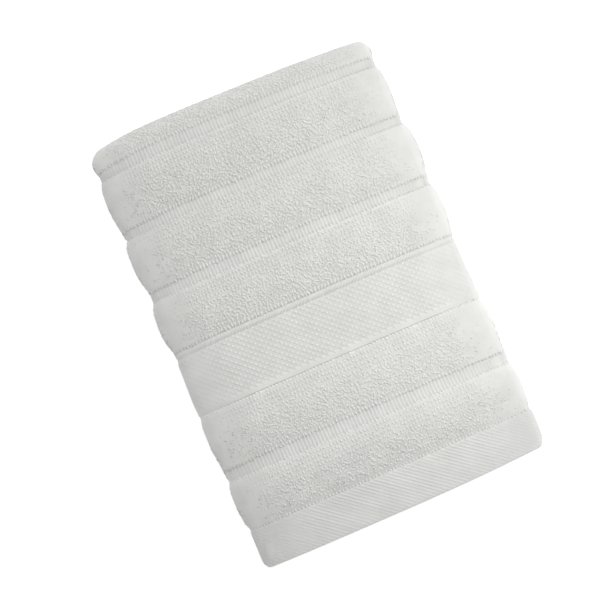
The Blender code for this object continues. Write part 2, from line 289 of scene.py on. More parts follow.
# The stage
FLOOR_HALF = 60.0
FLOOR_DROP = 0.0002
CAMERA_PLACE = (0.0, -0.1, 0.794)
CAMERA_TILT = math.radians(7.36)
CAMERA_ROLL = math.radians(-23.4)
CAMERA_LENS = 80.96
CAMERA_SENSOR = 36.0
CAMERA_SHIFT = (-0.0199, -0.011)
LIGHTS = (
    # name, place, size across and along
    ("side", (0.21, -0.015, 0.31), (0.2, 0.6)),
    ("end", (0.1, 1.6, 1.25), (1.0, 1.0)),
    ("near", (0.32, -0.5, 0.4), (0.5, 0.3)),
)
LIGHT_TURN = 0.3  # how much of its distance along a light looks back over, to the pile's middle line


def smooth_step(value, start, end):
    """0 before start, 1 after end, and a soft ramp in between."""
    share = np.clip((value - start) / (end - start), 0.0, 1.0)
    return share * share * (3.0 - 2.0 * share)


def added(pair, share):
    """The first number of a pair, with this share of the second added to it."""
    base, more = pair
    return base + more * share


def softened(values, reach):
    """The values averaged with their neighbours on both sides, twice."""
    window = np.ones(2 * reach + 1) / (2 * reach + 1)
    for _ in range(2):
        padded = np.pad(values, reach, mode="reflect", reflect_type="odd")
        values = np.convolve(padded, window, mode="valid")
    return values


def unit(vectors):
    return vectors / np.maximum(np.linalg.norm(vectors, axis=-1, keepdims=True), 1e-12)


class Cloth:
    """The folded cloth. A place on it is u across, from the middle of the face, v along, from the
    upper hem, and lift, which is how far it is out of the cloth's middle."""

    def __init__(self):
        self._across()
        self._along()
        self._bands()
        self._settling()

    def _across(self):
        """The section across the pile: three plies, and the two folds that join them."""
        fold_length = 1.5 * math.pi * PLY
        straight = (FLAT_SIZE[0] - fold_length + 2 * FLAP_SETBACK) / 3
        right = (straight + PLY / 2) / 2
        left = right - straight
        columns = []

        # Each column of the table is x, rise, which way the cloth faces there (across and up), how
        # much of a band's height shows, and how much of that is sideways.
        def ply(start, end, rise, turn, showing):
            x = np.linspace(start, end, round(abs(end - start) / PATH_STEP) + 1)
            columns.append(np.stack([x, *(np.full_like(x, k) for k in (rise, 0.0, turn, showing, 0.0))]))

        def fold(x, rise, radius, side):
            angles = np.radians(np.linspace(-90.0, 90.0, FOLD_POINTS) * side)
            out, up, side_only = side * np.cos(angles), np.sin(angles), np.cos(angles) ** 2
            showing = np.where(up > 0, 1.0, side_only)
            columns.append(np.stack([x + radius * out, rise + radius * up, out, up, showing, side_only]))

        ply(left + FLAP_SETBACK, right, 0.0, -1.0, 0.0)
        fold(right, PLY / 2, PLY / 2, 1)
        ply(right, left, PLY, 1.0, 1.0)
        fold(left, 0.0, PLY, -1)
        ply(left, right - FLAP_SETBACK, -PLY, -1.0, 0.0)
        table = np.concatenate(columns, axis=1)[:, ::-1]
        x, rise, turn_x, turn_rise = table[:4]
        outside = np.stack([x + turn_x * MEASURE_DEPTH, rise + turn_rise * MEASURE_DEPTH])
        u = np.concatenate([[0.0], np.cumsum(np.linalg.norm(np.diff(outside, axis=1), axis=0))])
        face = (rise == PLY) & (turn_x == 0.0)
        u -= np.interp(0.0, x[face], u[face])
        self.u, self.across = u, table
        self.edges = (u[0], u[-1])
        self.face_edges = (u[face].min(), u[face].max())

    def _along(self):
        """The line of that section along the pile, from the upper hem round to the one inside."""
        rest = THICKNESS / 2 + PRESSED * PROUD["terry"] + PLY
        bottom, under, over, top = (rest + PACKET * run for run in range(4))
        self.middle = (bottom + top) / 2
        outer_face = PLY + THICKNESS / 2
        hem = -PILE_LENGTH / 2
        outer = PILE_LENGTH / 2 - OUTER_REACH - outer_face - PROUD["terry"]
        lower = hem + LOWER_SETBACK + PACKET / 2 + outer_face + PROUD["terry"]
        inner = outer - INNER_NEST

        def line(start, end, level):
            y = np.linspace(start, end, round(abs(end - start) / PATH_STEP) + 1)
            return np.stack([y, np.full_like(y, level)], axis=1)

        def arc(y, z, reach, height, up, squareness=2.0):
            power = 2.0 / squareness
            angles = np.linspace(-math.pi / 2, math.pi / 2, round(math.pi * height / PATH_STEP))
            out = np.abs(np.cos(angles)) ** power * reach
            rise = np.sign(np.sin(angles)) * np.abs(np.sin(angles)) ** power * height * up
            return np.stack([y + out, z + rise], axis=1)

        pieces = (
            ("top", line(hem, outer, top)),
            ("outer_fold", arc(outer, self.middle, OUTER_REACH, 1.5 * PACKET, -1, OUTER_SQUARENESS)),
            ("bottom", line(outer, lower, bottom)),
            ("lower_fold", arc(lower, (bottom + under) / 2, -PACKET / 2, PACKET / 2, 1)),
            ("under", line(lower, inner, under)),
            ("inner_fold", arc(inner, (under + over) / 2, PACKET / 2, PACKET / 2, 1)),
            ("over", line(inner, hem + INNER_HEM_SETBACK, over)),
        )
        path = np.concatenate([pieces[0][1][:1]] + [p[1:] for _, p in pieces])
        last = np.cumsum([len(p) - 1 for _, p in pieces])
        normal = unit(np.gradient(path, axis=0))[:, ::-1] * (-1.0, 1.0)
        normal = unit(np.stack([softened(normal[:, k], NORMAL_REACH) for k in (0, 1)], axis=1))
        face = path + PLY * normal
        self.v = np.concatenate([[0.0], np.cumsum(np.linalg.norm(np.diff(face, axis=0), axis=1))])
        self.path = np.concatenate([path, normal], axis=1).T
        self.end = {name: self.v[at] for (name, _), at in zip(pieces, last)}
        self.length = self.v[-1]

    def _bands(self):
        """The bands from the upper hem on, and what they do to the surface at every length."""
        inner_hem = self.length - HEM_LENGTH
        self.bands, start, number = [], 0.0, 0
        while start < inner_hem:
            if number < len(END_BANDS):
                kind, size, left, right = END_BANDS[number]
            else:
                kind, size, left, right = REPEATED_BANDS[(number - len(END_BANDS)) % 2]
            size = min(size, inner_hem - start)
            self.bands.append((kind, start, size, left, right))
            start, number = start + size, number + 1
        self.bands.append(("hem", inner_hem, HEM_LENGTH, 0.0, 0.0))
        fine = np.arange(0.0, self.length, PATH_STEP)
        lines = {name: np.zeros_like(fine) for name in SOFTENING}
        for kind, start, size, left, right in self.bands:
            here = (fine >= start) & (fine <= start + size)
            share = (fine[here] - start) / size
            height = np.interp(share, *zip(*BAND_PROFILE[kind]))
            beside = np.interp(share, *zip(*SIDE_PROFILE)) if kind == "terry" else height
            lines["proud"][here] = height * PROUD[kind]
            lines["left"][here], lines["right"][here] = beside * left, beside * right
            lines["below"][here] = GROUND_BELOW[kind]
        self.fine = fine
        self.profile = {name: softened(line, SOFTENING[name]) for name, line in lines.items()}
        flat, lower, inside = self.end["outer_fold"], self.end["bottom"], self.end["lower_fold"]
        front, gone = ((1.0 - k) * lower + k * inside for k in FRONT_SPAN)
        share = 1.0 - (1.0 - PRESSED) * smooth_step(fine, (self.end["top"] + flat) / 2, flat)
        share += (FRONT - PRESSED) * smooth_step(fine, lower, front)
        self.left_share = share * (1.0 - smooth_step(fine, front, gone))

    def _settling(self):
        """How the pile sinks and shifts, softly, from one side to the other."""
        knots = np.array(SETTLING).T
        self.settle_x = np.arange(knots[0, 0], knots[0, -1], SETTLE_STEP)
        self.settle_by = [softened(np.interp(self.settle_x, knots[0], k), SETTLE_REACH) for k in knots[1:]]

    def band_at(self, v, line):
        """How proud the band stands at these lengths, how far it stands out on the left or the
        right, or how far below that its ground is."""
        return np.interp(v, self.fine, self.profile[line])

    def relief(self, u):
        """How much of its relief the weave has across: less near both sides, where it is worn flat."""
        low, high = self.face_edges
        far, near, part = FLATTENED
        return 1.0 - part * (1.0 - smooth_step(np.minimum(u - low, high - u), near, far))

    def place(self, u, v, lift=THICKNESS / 2, weave="ground"):
        """The points at these places, lift out of the cloth's middle and, but for its back, out by
        what its ground or the full height of its weave stands proud there."""
        u, v = np.broadcast_arrays(np.asarray(u, float), np.asarray(v, float))
        x, rise, turn_x, turn_rise, showing, side_only = (np.interp(u, self.u, k) for k in self.across)
        y, z, normal_y, normal_z = (np.interp(v, self.v, k) for k in self.path)
        proud = self.band_at(v, "proud") * np.interp(v, self.fine, self.left_share)
        out = np.where(x < 0.0, self.band_at(v, "left"), self.band_at(v, "right"))
        if weave == "back":
            proud, out = np.zeros_like(proud), np.zeros_like(out)
        elif weave == "ground":
            below = self.band_at(v, "below") * self.relief(u)
            proud, out = np.maximum(proud - below, 0.0), np.maximum(out - below, 0.0)
        depth = lift + proud * np.maximum(showing - side_only, 0.0)
        out = np.sign(x) * out * side_only
        rise = rise + turn_rise * depth
        x = x + turn_x * depth + out
        return self._settle(np.stack([x, y + normal_y * rise, z + normal_z * rise], axis=-1))

    def _settle(self, points):
        """The points where they come to lie once the pile has settled."""
        x, y, z = np.moveaxis(points, -1, 0)
        half_length = PILE_LENGTH / 2
        near_hem = np.clip((HEM_SINK_LENGTH - half_length - y) / HEM_SINK_LENGTH, 0.0, 1.0)
        z = z - np.maximum(z - self.middle, 0.0) * HEM_SINK * near_hem
        lost, fold_shift, hem_shift = (np.interp(x, self.settle_x, k) for k in self.settle_by)
        z = z * (1.0 - lost)
        free = smooth_step(z, 0.0, FREE_ABOVE)
        rounding, width, length = CORNER
        at_end = 1.0 - smooth_step(y, -half_length, length - half_length)
        corner = smooth_step(np.abs(x), HALF_WIDTH - width, HALF_WIDTH)
        shift = fold_shift * np.clip(y / half_length, 0.0, 1.0) ** END_SHIFT_POWER
        shift += hem_shift * np.clip(-y / half_length, 0.0, 1.0) ** END_SHIFT_POWER
        shift += rounding * corner * at_end
        radius, length, past, most = FOLD_CORNER
        round_off = np.clip((x - HALF_WIDTH - past + radius) / radius, 0.0, most)
        at_end = smooth_step(y, half_length - length, half_length)
        shift -= radius * (1.0 - np.sqrt(1.0 - round_off**2)) * at_end
        waist_x = x * WAIST * ((y / half_length) ** 2 - 1.0)
        waist_y = y * WAIST * ((x / HALF_WIDTH) ** 2 - 1.0)
        tapered = x * (1.0 + np.where(x < 0.0, *TAPER) * y / half_length)
        uneven = 0.0
        for height, *waves in UNEVEN:
            first, second = (np.sin(across * x + along * y + phase) for across, along, phase in waves)
            uneven = uneven + height * first * second
        x = tapered + waist_x + PUSH[0] * np.sin(PUSH[1] * y) * free
        y = y + waist_y + shift * free
        return np.stack([x - CENTRE[0], y - CENTRE[1], z + uneven * free], axis=-1)

    def axes(self, u, v):
        """At each place: the ground's point, how much higher the full height of the weave is, and
        the unit vectors up, across and along."""
        step = 0.0005
        base = self.place(u, v)
        height = np.linalg.norm(self.place(u, v, weave="full") - base, axis=-1)
        up = unit(self.place(u, v, THICKNESS / 2 + step) - base)
        across = unit(np.cross(self.place(u, v + step) - self.place(u, v - step), up))
        return base, height, up, across, unit(np.cross(up, across))


def new_object(name, data):
    made = bpy.data.objects.new(name, data)
    bpy.context.scene.collection.objects.link(made)
    return made


def mesh_piece(name, points, quads, material):
    """A new smooth object from an array of points and an array of four point numbers a face."""
    mesh = bpy.data.meshes.new(name)
    mesh.vertices.add(len(points))
    mesh.vertices.foreach_set("co", np.asarray(points, np.float32).ravel())
    mesh.loops.add(quads.size)
    mesh.loops.foreach_set("vertex_index", np.asarray(quads, np.int32).ravel())
    mesh.polygons.add(len(quads))
    mesh.polygons.foreach_set("loop_start", np.arange(0, quads.size, 4, dtype=np.int32))
    mesh.polygons.foreach_set("use_smooth", np.ones(len(quads), bool))
    mesh.update(calc_edges=True)
    if mesh.validate():
        raise RuntimeError(f"{name}: its faces aren't valid")
    mesh.materials.append(material)
    piece = new_object(name, mesh)
    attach(piece, "root")
    return piece


def grid_quads(rows, columns, count, ring):
    """Faces of count grids of points, one after another, each rows by columns. With ring, the
    last column joins the first."""
    number = np.arange(rows * columns).reshape(rows, columns)
    beside = np.roll(number, -1, axis=1) if ring else number[:, 1:]
    here = number if ring else number[:, :-1]
    quads = np.stack([here[:-1], here[1:], beside[1:], beside[:-1]], axis=-1).reshape(-1, 4)
    return (quads[None] + (rows * columns * np.arange(count))[:, None, None]).reshape(-1, 4)


def tubes(paths, radii, side, spread):
    """The points of a tube along each path, paths x points x sides. side is a unit vector that is
    square to the whole path, and spread how much wider the tube is that way."""
    forward = unit(np.gradient(paths, axis=1))
    across = np.cross(forward, side[:, None, :])
    turn = 2.0 * math.pi * (np.arange(LOOP_SIDES) + 0.5) / LOOP_SIDES
    wide = (side * spread[:, None])[:, None, None, :]
    ring = wide * np.sin(turn)[:, None] + across[:, :, None, :] * np.cos(turn)[:, None]
    return paths[:, :, None, :] + radii[..., None, None] * ring


def yarn_piece(name, yarns, material, ring=False):
    """One object from the points of many yarns, yarns x rows x columns, kept off the floor."""
    yarns[..., 2] = np.maximum(yarns[..., 2], FLOOR_GAP)
    quads = grid_quads(yarns.shape[1], yarns.shape[2], len(yarns), ring)
    return mesh_piece(name, yarns.reshape(-1, 3), quads, material)


def column_places(cloth, pitch):
    """Places across at this pitch, over the face and round both side folds."""
    low, high = cloth.face_edges
    count = int((high - low + 2 * SIDE_REACH) / pitch)
    return (np.arange(count + 1) - count / 2) * pitch + (low + high) / 2


class Socket:
    """A node's output that takes part in sums: each sign adds its Math node."""

    def __init__(self, shader, output):
        self.shader, self.output = shader, output

    def _math(self, operation, first, second):
        return self.shader.node("ShaderNodeMath", {"operation": operation}, {0: first, 1: second})

    def __add__(self, other):
        return self._math("ADD", self, other)

    def __sub__(self, other):
        return self._math("SUBTRACT", self, other)

    def __rsub__(self, other):
        return self._math("SUBTRACT", other, self)

    def __mul__(self, other):
        return self._math("MULTIPLY", self, other)

    __radd__ = __add__
    __rmul__ = __mul__


class Shader:
    """One material's nodes."""

    def __init__(self, name, even):
        self.material = bpy.data.materials.new(name)
        self.material.use_nodes = True
        self.surface = self.material.node_tree.nodes["Principled BSDF"]
        for socket, value in even.items():
            self.surface.inputs[socket].default_value = value

    def node(self, kind, settings=None, values=None, output=0):
        made = self.material.node_tree.nodes.new(kind)
        for name, value in (settings or {}).items():
            setattr(made, name, value)
        for name, value in (values or {}).items():
            self.feed(made.inputs[name], value)
        return Socket(self, made.outputs[output])

    def feed(self, socket, value):
        if isinstance(value, Socket):
            self.material.node_tree.links.new(value.output, socket)
        else:
            socket.default_value = value

    def noise(self, scale, roughness):
        place = self.node("ShaderNodeTexCoord", output="Object")
        values = {"Vector": place, "Scale": scale, "Detail": 3.0, "Roughness": roughness}
        return self.node("ShaderNodeTexNoise", values=values)

    def ramp(self, value, start, end):
        values = {"Value": value, "From Min": start, "From Max": end}
        return self.node("ShaderNodeMapRange", {"interpolation_type": "SMOOTHSTEP"}, values)

    def mix(self, share, first, second):
        return self.node("ShaderNodeMix", {"data_type": "RGBA"}, {0: share, 6: first, 7: second}, output=2)


def cotton(name, look, shade=0.0):
    """White cotton: a little uneven in colour, dull, and fluffy at the scale of its fibres, with painted
    shade that greys it towards both sides and darkens it between them. look is its line of
    COTTON_LOOKS, and shade how much more painted shade it has where other yarns would shade it."""
    fibre, relief, wear_and_side_shade, soft, painted_shade = COTTON_LOOKS[look]
    painted_shade = painted_shade + shade
    shader = Shader(name, {
        "Metallic": 0.0,
        "Specular IOR Level": 0.2,
        "Sheen Weight": 0.2,
        "Sheen Roughness": 0.6,
        "Subsurface Weight": soft,
        "Subsurface Radius": (1.0, 1.0, 1.0),
        "Subsurface Scale": 0.0012,
    })
    scale, least, most = CLOUDS
    clouds = shader.ramp(shader.noise(scale, 0.5), least, most)
    fibres = shader.noise(1.0 / fibre, 0.65)
    colour = bpy.context.scene.towel_cloth.colour[:3]
    light, dark = ((*(part * share for part in colour), 1.0) for share in (1.0, DARKER))
    even = shader.mix(clouds * CLOUDY + fibres * (1.0 - CLOUDY), dark, light)
    place = shader.node("ShaderNodeTexCoord", output="Object")
    across = shader.node("ShaderNodeSeparateXYZ", values={0: place})
    start, end = (HALF_WIDTH - inward for inward in SIDE_SHADE_RAMP)
    left, right = (shader.ramp(across * side, start, end) for side in (-1.0, 1.0))
    # painted shade: greyer at both sides, less on the right, which faces the light, and darker between the
    # sides
    painted_shade_share = left * wear_and_side_shade + right * (RIGHT_SIDE_SHADE * wear_and_side_shade) + (1.0 - left - right) * painted_shade
    shader.feed(shader.surface.inputs["Base Color"], shader.mix(painted_shade_share, even, BLACK))
    shader.feed(shader.surface.inputs["Roughness"], added(ROUGHNESS, fibres))
    bump = {"Strength": FIBRE_BUMP, "Distance": relief, "Height": fibres}
    shader.feed(shader.surface.inputs["Normal"], shader.node("ShaderNodeBump", values=bump))
    return shader.material


def amount(name, description, default, **how):
    return FloatProperty(name=name, description=description, default=default, min=0.0, **how)


def measure(name, description, default):
    how = {"subtype": "DISTANCE", "unit": "LENGTH", "precision": 4}
    return amount(name, description, default, max=1.0, **how)


def tint(name, description, default):
    how = {"subtype": "COLOR", "size": 4, "min": 0.0, "max": 1.0}
    return FloatVectorProperty(name=name, description=description, default=default, **how)


class TowelCloth(bpy.types.PropertyGroup):
    colour: tint("Cotton", "Colour of the cotton", (0.875, 0.88, 0.852, 1.0))
    # painted shade on the ground between the loops
    painted_shade: amount("Deep", "How much darker the ground is between the loops", 0.075, max=1.0)
    column: measure("Column", "Distance between the sheet's points across the face", 0.004)
    row: measure("Row", "Distance between the sheet's points along the face", 0.0016)


class TowelTerry(bpy.types.PropertyGroup):
    column: measure("Column pitch", "Distance between loops across", 0.00202)
    row: measure("Row pitch", "Distance between loops along", 0.00246)
    span: measure("Span", "Distance between a loop's two feet", 0.0013)
    yarn: measure("Yarn", "Radius of the loop's yarn", 0.00055)
    lean: measure("Lean", "How far a loop's top leans over", 0.00035)
    seed: IntProperty(name="Seed", description="Which random lean each loop has", default=7)


ANGLE = {"subtype": "ANGLE", "unit": "ROTATION"}


class TowelWeave(bpy.types.PropertyGroup):
    rib: measure("Rib pitch", "Distance between the upright ribs", 0.00202)
    bead_column: measure("Bead column", "Distance between the border's beads across", 0.00398)
    bead_row: measure("Bead row", "Distance between the border's rows of beads", 0.00181)
    strand: measure("Strand pitch", "Distance between the cord's strands", 0.0019)
    twill: measure("Twill pitch", "Distance between the hem's ridges, square to them", 0.00179)
    twill_slope: amount("Twill slope", "Slope of the hem's ridges", math.radians(38.0), **ANGLE)


class TowelStage(bpy.types.PropertyGroup):
    floor: tint("Floor", "Colour of the floor", (0.93, 0.93, 0.93, 1.0))
    floor_glow: amount("Floor glow", "Light that the floor gives off itself", 0.5)
    sky: amount("Sky", "Strength of the even light all round", 0.398)
    side: amount("Side light", "Power of the light beside the towel", 0.69, unit="POWER")
    near: amount("Near light", "Power of the weak light on the hem's side", 0.45, unit="POWER")
    end: amount("End light", "Power of the light past the outer fold", 12.3, unit="POWER")


@functools.cache
def folded_cloth():
    """The fold, which is worked out once and used by every piece."""
    return Cloth()


def loops(cloth, places, rng, settings):
    """Loops of yarn that stand on the ground. places is u, v, how regular each is (1 where they
    stand in line and 0 where they lean about), and how tall and long it is beside the others."""
    u, v, regular, tall, long = places
    count, wild = len(u), 1.0 - regular
    base, height, up, across, along = cloth.axes(u, v)
    radius = settings.yarn * rng.uniform(*LOOP_RADII, count) * (1.0 + LOOP_FATTER * regular)
    twist = rng.normal(0.0, added(LOOP_TWIST, wild))
    forward = along * np.cos(twist)[:, None] + across * np.sin(twist)[:, None]
    uneven = rng.uniform(-1.0, 1.0, count) * added(LOOP_UNEVEN, wild)
    height = height * tall * (1.0 + uneven) - radius
    span = settings.span * rng.uniform(*LOOP_SPANS, count) * added(LOOP_LENGTH, wild) * long
    lean = rng.normal(0.0, added(LOOP_LEAN, wild), (2, count)) * settings.lean
    top = base + up * height[:, None] + across * lean[0][:, None] + along * lean[1][:, None]
    foot = base - up * (LOOP_FOOT_DEPTH * radius)[:, None]
    reach = forward * (0.5 * span)[:, None]
    beside = np.cross(forward, up)
    bow = beside * (rng.normal(0.0, LOOP_BOW, count) * wild * radius)[:, None]
    crown = top + up * (LOOP_CROWN * radius)[:, None] + bow
    out = LOOP_FOOT_OUT * reach
    paths = np.stack([foot - out, top - reach, crown, top + reach, foot + out], axis=1)
    return tubes(paths, radius[:, None] * np.array(LOOP_TAPER), beside, added(LOOP_SPREAD, regular))


def terry_places(cloth, settings, rng, start, size, layers, folds_only, coarse):
    """Where the loops of one terry band stand: u, v, how regular each is, and how tall and long."""
    found = []
    rows = max(2, round(size / settings.row / coarse))
    low, high = cloth.face_edges
    first, last = ROW_MARGINS
    fade_start, fade_end, power = IN_LINE
    edge_rows, longer = EDGE_ROW
    round_side, bare, full = WORN_LOOPS
    for layer in range(layers):
        columns = column_places(cloth, settings.column * coarse) + 0.5 * settings.column * layer
        if folds_only:
            columns = columns[(columns < low) | (columns > high)]
        spacing = (rows - first - last) / (rows - 1)
        share = (first + (np.arange(rows) + 0.5 * layer) * spacing) / rows
        v, u = np.meshgrid(start + share * size, columns, indexing="ij")
        from_start, from_end = share[:, None] * size, (1.0 - share[:, None]) * size
        regular = np.maximum(1.0 - from_start / fade_start, 1.0 - from_end / fade_end)
        regular = np.clip(np.broadcast_to(regular, u.shape), 0.0, 1.0) ** power
        jitter = added(LOOP_JITTER, 1.0 - regular)
        u = u + rng.normal(0.0, 1.0, u.shape) * jitter * settings.column
        v = v + rng.normal(0.0, 1.0, u.shape) * jitter * settings.row
        tall = LAYER_HEIGHTS[layer] * np.interp(v, *LOWER_BY_HEM)
        long = np.where(from_start < edge_rows * settings.row, longer, 1.0)
        long = np.broadcast_to(long, u.shape)
        kept = (v > start + BAND_MARGIN) & (v < start + size - BAND_MARGIN)
        kept &= (layer == 0) | (regular < SECOND_LAYER)
        inward = np.minimum(u - low, high - u)
        wear_and_side_shade = rng.random(u.shape) > smooth_step(inward, -bare, full)
        at_edge = np.minimum(from_start, from_end) < edge_rows * settings.row
        kept &= ~wear_and_side_shade | (inward < -round_side) | at_edge
        found.append(np.stack([k[kept] for k in (u, v, regular, tall, long)]))
    return np.concatenate(found, axis=1)


def sheet_rows(cloth, settings):
    """Lengths of the sheet's rows: fine on top and round the folds that show, coarser elsewhere."""
    rows, start = [], 0.0
    for name, coarse in ROW_STEPS.items():
        end = cloth.end[name]
        rows.append(np.linspace(start, end, round((end - start) / (coarse * settings.row)) + 1)[:-1])
        start = end
    rows = np.concatenate(rows)
    edges = np.array([start for _, start, *_ in cloth.bands[1:]])
    shown = edges[edges < cloth.end["outer_fold"]]
    away, near = ROWS_BY_EDGE
    beside = np.concatenate([edges - away, edges, edges + away, shown - near, shown + near])
    rows = rows[np.abs(rows[:, None] - edges).min(axis=1) > CLEAR_OF_EDGE]
    ends = np.array(ROWS_BY_END)
    rows = rows[(rows > CLEAR_OF_END) & (rows < cloth.length - CLEAR_OF_END)]
    return np.unique(np.concatenate([rows, beside, ends, cloth.length - ends]))


def sheet_columns(cloth, settings):
    """Places of the sheet's columns: fine round both side folds."""
    low, high = cloth.face_edges
    first, last = cloth.edges
    left, right = low - SIDE_FOLDS[0], high + SIDE_FOLDS[1]
    *ends, inner = ROWS_BY_END
    hidden, round_left, round_right = COLUMN_COUNTS
    parts = (
        np.linspace(first + inner, left, hidden)[:-1],
        np.linspace(left, low, round_left)[:-1],
        np.linspace(low, high, round((high - low) / settings.column) + 1)[:-1],
        np.linspace(high, right, round_right)[:-1],
        np.linspace(right, last - inner, hidden),
        first + np.array(ends),
        last - np.array(ends),
    )
    return np.unique(np.concatenate(parts))


def closed_quads(rows, columns):
    """Faces of a face grid, a back grid, and the four edges between them, all facing out."""
    face, back = np.arange(2 * rows * columns).reshape(2, rows, columns)
    face_quads, back_quads = grid_quads(rows, columns, 2, ring=False).reshape(2, -1, 4)
    quads = [face_quads[:, ::-1], back_quads]
    for upper, lower in (
        (face[0], back[0]),
        (face[-1, ::-1], back[-1, ::-1]),
        (face[::-1, 0], back[::-1, 0]),
        (face[:, -1], back[:, -1]),
    ):
        quads.append(np.stack([upper[:-1], lower[:-1], lower[1:], upper[1:]], axis=1))
    return np.concatenate(quads)


def ground_shades(cloth, rows):
    """The number of the shade, 0 for none, that each row of the sheet's faces lies in."""
    shades = np.zeros(len(rows) - 1, np.int32)
    middles = (rows[:-1] + rows[1:]) / 2
    for kind, start, size, *_ in cloth.bands:
        for shade, *span in GROUND_SHADES.get(kind, ()):
            low, high = (start + (min(k, size) if k >= 0.0 else size + k) for k in span)
            shades[(middles > low) & (middles < high)] = shade
    return shades


class TOWEL_OT_cloth(bpy.types.Operator):
    """The folded sheet: the ground of every weave, on both faces of all twelve plies"""

    bl_idname = "towel.cloth"
    bl_label = "Folded cloth"

    def execute(self, context):
        settings, cloth = context.scene.towel_cloth, folded_cloth()
        rows, columns = sheet_rows(cloth, settings), sheet_columns(cloth, settings)
        v, u = np.meshgrid(rows, columns, indexing="ij")
        first, last = cloth.edges
        inward = np.minimum(np.minimum(v, cloth.length - v), np.minimum(u - first, last - u))
        reach, thin = EDGE_ROUNDING
        half = THICKNESS / 2 * (thin + (1.0 - thin) * np.sqrt(np.clip(inward / reach, 0.0, 1.0)))
        points = np.stack([cloth.place(u, v, half), cloth.place(u, v, -half, "back")]).reshape(-1, 3)
        points[:, 2] = np.maximum(points[:, 2], 0.0)
        ground = cotton("white_cotton_ground", "ground")
        piece = mesh_piece("towel_cloth", points, closed_quads(*u.shape), ground)
        # darker copies of the ground, for its painted shade and its painted shadow lines
        for name, share in SHADED_GROUNDS:
            piece.data.materials.append(cotton(name, "ground", share * settings.painted_shade))
        shades = np.repeat(ground_shades(cloth, rows), len(columns) - 1)
        slots = np.zeros(len(piece.data.polygons), np.int32)
        slots[:len(shades)] = shades
        piece.data.polygons.foreach_set("material_index", slots)
        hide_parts("towel")
        return {"FINISHED"}


TERRY_GROUPS = (
    # piece, lengths up to, layers, whether only round the side folds, how much coarser
    ("terry_by_hem", lambda cloth: 0.095, 2, False, 1.0),
    ("terry_by_border", lambda cloth: 0.19, 2, False, 1.0),
    ("terry_by_fold", lambda cloth: 0.245, 2, False, 1.0),
    ("terry_on_fold", lambda cloth: cloth.end["outer_fold"] - 0.006, 2, False, 1.0),
    ("terry_underneath", lambda cloth: cloth.end["bottom"], 1, False, 1.5),
    ("terry_lower_fold", lambda cloth: cloth.end["lower_fold"], 1, False, 1.0),
    ("terry_sides", lambda cloth: cloth.length, 1, True, 1.0),
)


class TOWEL_OT_terry(bpy.types.Operator):
    """The terry bands' loops, band by band, on every side of the pile that shows"""

    bl_idname = "towel.terry"
    bl_label = "Terry loops"

    def execute(self, context):
        settings, cloth = context.scene.towel_terry, folded_cloth()
        rng = np.random.default_rng(settings.seed)
        material = cotton("white_terry_yarn", "terry")
        groups = {}
        for kind, start, size, *_ in cloth.bands:
            if kind == "terry":
                middle = start + size / 2
                name, _, *how = next(group for group in TERRY_GROUPS if middle < group[1](cloth))
                places = terry_places(cloth, settings, rng, start, size, *how)
                groups.setdefault(name, []).append(loops(cloth, places, rng, settings))
        for name, made in groups.items():
            yarn_piece(name, np.concatenate(made), material, ring=True)
        return {"FINISHED"}


def strips(cloth, u, v, width, height, points, sink=YARN_SINK):
    """The points of half-round strips of yarn on the cloth. u, v, width and height are arrays of
    strips by points along them."""
    du, dv = np.gradient(u, axis=1), np.gradient(v, axis=1)
    long = np.maximum(np.hypot(du, dv), 1e-9)
    places = np.linspace(-1.0, 1.0, points)
    rise = np.sqrt(1.0 - places**2)
    lift = THICKNESS / 2 - sink + (height * cloth.relief(u) + sink)[..., None] * rise
    across = -(dv / long)[..., None] * width[..., None] * places
    along = (du / long)[..., None] * width[..., None] * places
    return cloth.place(u[..., None] + across, v[..., None] + along, lift)


def diagonals(cloth, starts, run, v):
    """Places on lines that go to the right as v falls, and which of them lie past the sides."""
    low, high = cloth.face_edges
    u = starts[:, None] + run[None, :]
    return u, np.broadcast_to(v, u.shape), (u < low - WOVEN_REACH) | (u > high + WOVEN_REACH)


def diagonal_strips(cloth, u, v, outside, width, height, points):
    """Strips of yarn on such lines. What lies past the sides is tucked into the cloth."""
    low, high = cloth.face_edges
    u = np.clip(u, low - WOVEN_REACH - TUCK, high + WOVEN_REACH + TUCK)
    width, height = (np.where(outside, *pair) for pair in zip(TUCKED, (width, height)))
    return strips(cloth, u, v, width, height, points)


def rib_strips(cloth, pitch, rng, start, size):
    """The ribs of one band."""
    low, high = cloth.face_edges
    u = column_places(cloth, pitch)
    if start > cloth.end["bottom"]:
        u = u[(u < low) | (u > high)]
    u, v = np.broadcast_arrays(u[:, None], start + np.linspace(*RIB_SPAN, RIB_STEPS) * size)
    beads = np.cos(2.0 * math.pi * (v - start) / RIB_BEAD + rng.uniform(-0.5, 0.5, (len(u), 1)))
    width = pitch * added(RIB_WIDTH, beads) * rng.uniform(*VARYING["rib_width"], u.shape)
    height, higher = RIB_HEIGHT
    left, right = (smooth_step(k, *fade) for k, fade in zip((u - low, high - u), RIB_FADES))
    height = height * (RIB_WORN + (1.0 - RIB_WORN) * left * right)
    height = height * (1.0 + higher * beads) * rng.uniform(*VARYING["rib_height"], (len(u), 1))
    u = u + rng.normal(0.0, RIB_JITTER, u.shape)
    return strips(cloth, u, v, width, height, points=4)


class TOWEL_OT_ribs(bpy.types.Operator):
    """The upright ribs between the terry bands, a little beaded"""

    bl_idname = "towel.ribs"
    bl_label = "Rib bands"

    def execute(self, context):
        pitch, cloth = context.scene.towel_weave.rib, folded_cloth()
        rng = np.random.default_rng(SEEDS["ribs"])
        bands = [(start, size) for kind, start, size, *_ in cloth.bands if kind == "rib"]
        made = np.concatenate([rib_strips(cloth, pitch, rng, *band) for band in bands])
        yarn_piece("rib_yarns", made, cotton("white_woven_yarn", "rib"))
        return {"FINISHED"}


